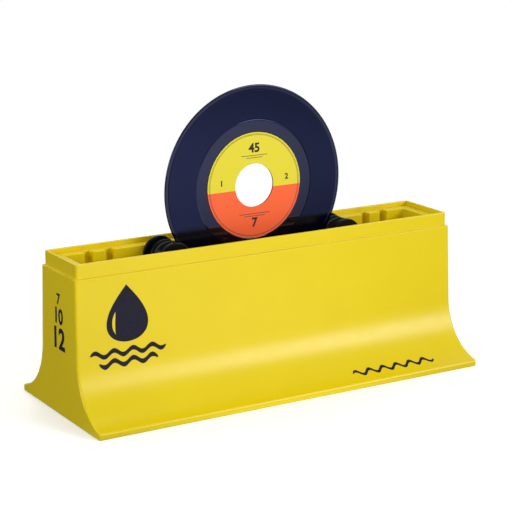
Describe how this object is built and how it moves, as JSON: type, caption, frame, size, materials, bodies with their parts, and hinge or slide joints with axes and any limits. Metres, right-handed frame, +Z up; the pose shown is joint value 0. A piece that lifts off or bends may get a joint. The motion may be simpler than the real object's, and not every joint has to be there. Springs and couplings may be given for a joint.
{
  "type": "manual record washer",
  "caption": "Manual record washer: a flared basin with a narrow water tank, lift-out brushes and grooved rollers that carry a standing record while it is turned by hand.",
  "frame": {"origin": "on the table, under the middle of the basin", "axes": "+X along the basin, +Y across it towards the back as pictured, +Z up; the record stands in the XZ plane"},
  "size_m": [0.378, 0.1512, 0.2616],
  "materials": {
    "yellow_plastic": "satin moulded plastic",
    "black_plastic": "satin moulded plastic",
    "rubber": "matt rubber",
    "foam": "open-cell foam",
    "pile_fabric": "short dense pile",
    "vinyl": "grooved gloss",
    "label_paper": "printed paper"
  },
  "bodies": {
    "basin": {"outer_shell": "yellow_plastic", "water_tank": "yellow_plastic", "axle_rail_left_front": "yellow_plastic", "axle_rail_left_rear": "yellow_plastic", "axle_rail_right_front": "yellow_plastic", "axle_rail_right_rear": "yellow_plastic"},
    "record": {"record_disc": "vinyl", "record_label_front": "label_paper", "record_label_rear": "label_paper"},
    "roller_left": {"roller_left_axle": "black_plastic", "roller_left_grip_ring": "rubber", "roller_left_spool_front": "black_plastic", "roller_left_washer_front": "black_plastic", "roller_left_spool_rear": "black_plastic", "roller_left_washer_rear": "black_plastic"},
    "roller_right": {"roller_right_axle": "black_plastic", "roller_right_grip_ring": "rubber", "roller_right_spool_front": "black_plastic", "roller_right_washer_front": "black_plastic", "roller_right_spool_rear": "black_plastic", "roller_right_washer_rear": "black_plastic"},
    "brush_front": {"brush_front_holder": "black_plastic", "brush_front_foam": "foam", "brush_front_pile": "pile_fabric"},
    "brush_rear": {"brush_rear_holder": "black_plastic", "brush_rear_foam": "foam", "brush_rear_pile": "pile_fabric"}
  },
  "joints": [
    {"name": "record_spin", "type": "hinge", "parent": "basin", "child": "record", "pos_m": [0, 0, 0.1743], "axis": [0, 1, 0], "continuous": true},
    {"name": "roller_left_spin", "type": "hinge", "parent": "basin", "child": "roller_left", "pos_m": [-0.0855, 0, 0.12205], "axis": [0, 1, 0], "continuous": true},
    {"name": "roller_right_spin", "type": "hinge", "parent": "basin", "child": "roller_right", "pos_m": [0.0855, 0, 0.12205], "axis": [0, 1, 0], "continuous": true},
    {"name": "brush_front_lift", "type": "slide", "parent": "basin", "child": "brush_front", "axis": [0, 0, 1], "range_m": [0, 0.095]},
    {"name": "brush_rear_lift", "type": "slide", "parent": "basin", "child": "brush_rear", "axis": [0, 0, 1], "range_m": [0, 0.095]}
  ],
  "couplings": [
    {"joint": "roller_left_spin", "follows": "record_spin", "ratio": -6.9286},
    {"joint": "roller_right_spin", "follows": "record_spin", "ratio": -6.9286}
  ]
}
